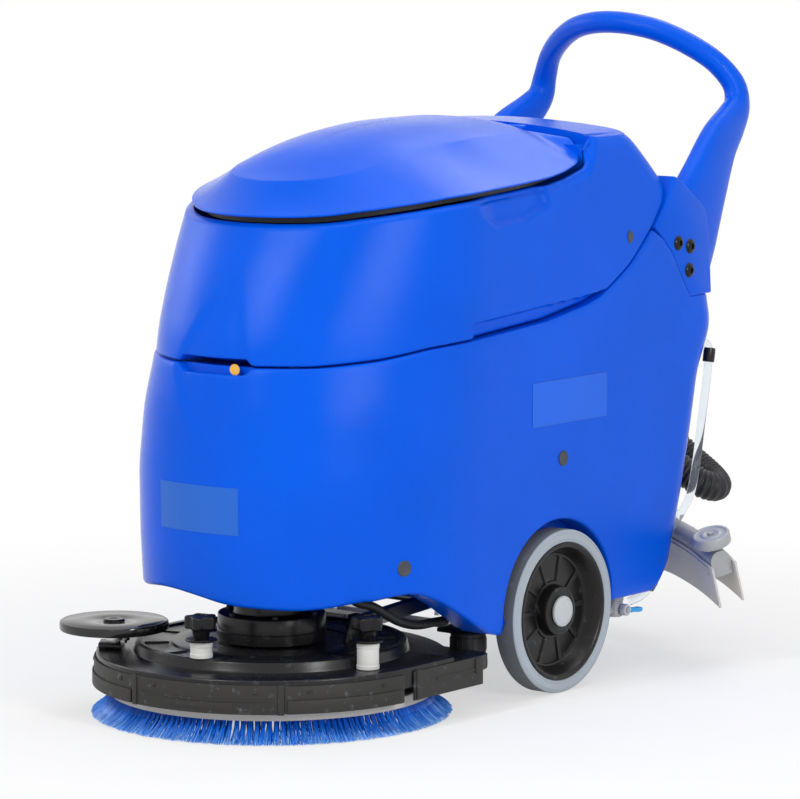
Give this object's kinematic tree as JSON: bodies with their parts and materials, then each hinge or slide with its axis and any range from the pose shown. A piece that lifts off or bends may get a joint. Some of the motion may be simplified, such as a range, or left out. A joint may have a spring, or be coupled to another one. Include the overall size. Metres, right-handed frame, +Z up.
{
  "type": "walk-behind scrubber dryer",
  "caption": "Walk-behind floor scrubber dryer: disc brush deck in front, stacked blue tanks with tilting top and lid, loop handle, rear squeegee with suction hose.",
  "frame": {"origin": "centre of the bounding box's base, on the floor", "axes": "+X the machine's left, -Y the front with the brush, +Y the handle end, +Z up"},
  "size_m": [0.7244, 1.2043, 0.9949],
  "materials": {
    "blue_plastic": "semi-gloss rotationally moulded polyethylene, royal blue",
    "black_plastic": "black moulded plastic",
    "grey_casting": "light grey casting",
    "steel": "plated steel",
    "tyre_grey": "grey non-marking rubber",
    "hub_grey": "grey moulded plastic",
    "bristle_blue": "bright blue nylon bristles",
    "rubber": "black flexible rubber",
    "clear_plastic": "clear flexible tube",
    "white_plastic": "off-white moulded plastic",
    "lever_blue": "bright blue plastic",
    "battery_case": "dark battery case",
    "blade_rubber": "tan wiping rubber",
    "button_green": "green button",
    "button_blue": "blue button"
  },
  "bodies": {
    "chassis": {"solution_tank": "blue_plastic", "chassis_frame": "steel", "battery_front": "battery_case", "battery_rear": "battery_case", "handle": "blue_plastic", "control_panel": "black_plastic", "handle_screw_left_1": "black_plastic", "handle_screw_left_2": "black_plastic", "handle_screw_left_3": "black_plastic", "handle_screw_right_1": "black_plastic", "handle_screw_right_2": "black_plastic", "handle_screw_right_3": "black_plastic", "tank_hinge_pin": "steel", "filter_body": "black_plastic", "solution_hose": "rubber", "drain_valve": "grey_casting", "level_tube": "clear_plastic"},
    "key": {"key_switch": "steel"},
    "brush_button": {"brush_button": "button_green"},
    "vacuum_button": {"vacuum_button": "button_blue"},
    "recovery_tank": {"recovery_tank": "blue_plastic", "tank_gasket": "rubber", "vacuum_motor": "black_plastic", "float_cage": "black_plastic", "lid_hinge_pin": "steel"},
    "lid": {"lid": "blue_plastic"},
    "float_ball": {"float_ball": "white_plastic"},
    "wheel_left": {"tyre_left": "tyre_grey", "wheel_hub_left": "black_plastic", "wheel_cap_left": "hub_grey"},
    "wheel_right": {"tyre_right": "tyre_grey", "wheel_hub_right": "black_plastic", "wheel_cap_right": "hub_grey"},
    "deck_linkage": {"deck_linkage": "steel"},
    "deck": {"deck_housing": "black_plastic", "splash_skirt": "rubber", "brush_motor": "black_plastic", "deck_spacer_left": "white_plastic", "deck_spacer_right": "white_plastic", "bumper_bracket": "steel"},
    "brush": {"drive_plate": "black_plastic", "brush_block": "white_plastic", "brush_bristles": "bristle_blue"},
    "bumper_roller": {"bumper_roller": "black_plastic"},
    "deck_knob_left": {"deck_knob_left": "black_plastic"},
    "deck_knob_right": {"deck_knob_right": "black_plastic"},
    "filter_cap": {"filter_cap": "black_plastic"},
    "drain_lever": {"drain_lever": "lever_blue"},
    "squeegee_arm": {"squeegee_arm": "grey_casting", "vacuum_hose": "rubber"},
    "squeegee": {"squeegee_body": "grey_casting", "squeegee_bracket": "grey_casting", "squeegee_blade_front": "blade_rubber", "squeegee_blade_rear": "blade_rubber"},
    "squeegee_knob_left": {"squeegee_knob_left": "black_plastic"},
    "squeegee_knob_right": {"squeegee_knob_right": "black_plastic"},
    "guide_roller_left": {"guide_roller_left": "grey_casting"},
    "guide_roller_right": {"guide_roller_right": "grey_casting"},
    "lift_lever": {"lift_lever": "black_plastic"},
    "deck_pedal": {"deck_pedal": "black_plastic"}
  },
  "joints": [
    {"name": "wheel_left_spin", "type": "hinge", "parent": "chassis", "child": "wheel_left", "pos_m": [0.24, 0.02845, 0.123], "axis": [1, 0, 0], "continuous": true},
    {"name": "wheel_right_spin", "type": "hinge", "parent": "chassis", "child": "wheel_right", "pos_m": [-0.24, 0.02845, 0.123], "axis": [1, 0, 0], "continuous": true},
    {"name": "deck_lift", "type": "hinge", "parent": "chassis", "child": "deck_linkage", "pos_m": [0, -0.04055, 0.15], "axis": [-1, 0, 0], "range_deg": [0, 3.5]},
    {"name": "deck_level", "type": "hinge", "parent": "deck_linkage", "child": "deck", "pos_m": [0, -0.28055, 0.135], "axis": [-1, 0, 0], "range_deg": [-3.5, 0]},
    {"name": "deck_pedal_press", "type": "hinge", "parent": "chassis", "child": "deck_pedal", "pos_m": [-0.185, 0.21945, 0.107], "axis": [-1, 0, 0], "range_deg": [0, 14]},
    {"name": "brush_spin", "type": "hinge", "parent": "deck", "child": "brush", "pos_m": [0, -0.34055, 0.05], "axis": [0, 0, 1], "continuous": true},
    {"name": "bumper_roller_spin", "type": "hinge", "parent": "deck", "child": "bumper_roller", "pos_m": [-0.186, -0.47755, 0.118], "axis": [0, 0, 1], "continuous": true},
    {"name": "deck_knob_left_turn", "type": "hinge", "parent": "deck", "child": "deck_knob_left", "pos_m": [0.215, -0.38255, 0.149], "axis": [0, 0, 1], "continuous": true},
    {"name": "deck_knob_right_turn", "type": "hinge", "parent": "deck", "child": "deck_knob_right", "pos_m": [0.024, -0.52455, 0.149], "axis": [0, 0, 1], "continuous": true},
    {"name": "recovery_tank_tilt", "type": "hinge", "parent": "chassis", "child": "recovery_tank", "pos_m": [0, 0.36245, 0.762], "axis": [-1, 0, 0], "range_deg": [0, 45]},
    {"name": "lid_open", "type": "hinge", "parent": "recovery_tank", "child": "lid", "pos_m": [0, 0.15395, 0.824], "axis": [-1, 0, 0], "range_deg": [0, 70]},
    {"name": "float_ball_rise", "type": "slide", "parent": "recovery_tank", "child": "float_ball", "axis": [0, 0, 1], "range_m": [0, 0.035]},
    {"name": "key_turn", "type": "hinge", "parent": "chassis", "child": "key", "pos_m": [0.085, 0.42345, 0.69], "axis": [0, 1, 0], "range_deg": [0, 90]},
    {"name": "brush_button_press", "type": "slide", "parent": "chassis", "child": "brush_button", "axis": [0, -1, 0], "range_m": [0, 0.002], "stiffness_N_per_m": 500},
    {"name": "vacuum_button_press", "type": "slide", "parent": "chassis", "child": "vacuum_button", "axis": [0, -1, 0], "range_m": [0, 0.002], "stiffness_N_per_m": 500},
    {"name": "filter_cap_turn", "type": "hinge", "parent": "chassis", "child": "filter_cap", "pos_m": [0.178, -0.10055, 0.049], "axis": [0, 0, 1], "continuous": true},
    {"name": "drain_lever_turn", "type": "hinge", "parent": "chassis", "child": "drain_lever", "pos_m": [0.2205, 0.23945, 0.092], "axis": [-1, 0, 0], "range_deg": [0, 90]},
    {"name": "squeegee_lift", "type": "hinge", "parent": "chassis", "child": "squeegee_arm", "pos_m": [0, 0.03645, 0.16], "axis": [-1, 0, 0], "range_deg": [0, 20], "deforming": ["vacuum_hose"]},
    {"name": "squeegee_swivel", "type": "hinge", "parent": "squeegee_arm", "child": "squeegee", "pos_m": [0, 0.43037, 0.22676], "axis": [0, -0.342, 0.9397], "range_deg": [-2.5, 2.5]},
    {"name": "lift_lever_turn", "type": "hinge", "parent": "chassis", "child": "lift_lever", "pos_m": [-0.128, 0.45945, 0.35], "axis": [-1, 0, 0], "range_deg": [0, 30]},
    {"name": "squeegee_knob_left_turn", "type": "hinge", "parent": "squeegee", "child": "squeegee_knob_left", "pos_m": [0.15, 0.40302, 0.23319], "axis": [0, -0.342, 0.9397], "continuous": true},
    {"name": "guide_roller_left_spin", "type": "hinge", "parent": "squeegee", "child": "guide_roller_left", "pos_m": [0.322, 0.32703, 0.19393], "axis": [0, -0.342, 0.9397], "continuous": true},
    {"name": "squeegee_knob_right_turn", "type": "hinge", "parent": "squeegee", "child": "squeegee_knob_right", "pos_m": [-0.15, 0.40302, 0.23319], "axis": [0, -0.342, 0.9397], "continuous": true},
    {"name": "guide_roller_right_spin", "type": "hinge", "parent": "squeegee", "child": "guide_roller_right", "pos_m": [-0.322, 0.32703, 0.19393], "axis": [0, -0.342, 0.9397], "continuous": true}
  ],
  "couplings": [
    {"joint": "deck_level", "follows": "deck_lift", "ratio": -1},
    {"joint": "deck_pedal_press", "follows": "deck_lift", "ratio": 4},
    {"joint": "lift_lever_turn", "follows": "squeegee_lift", "ratio": 1.5}
  ]
}
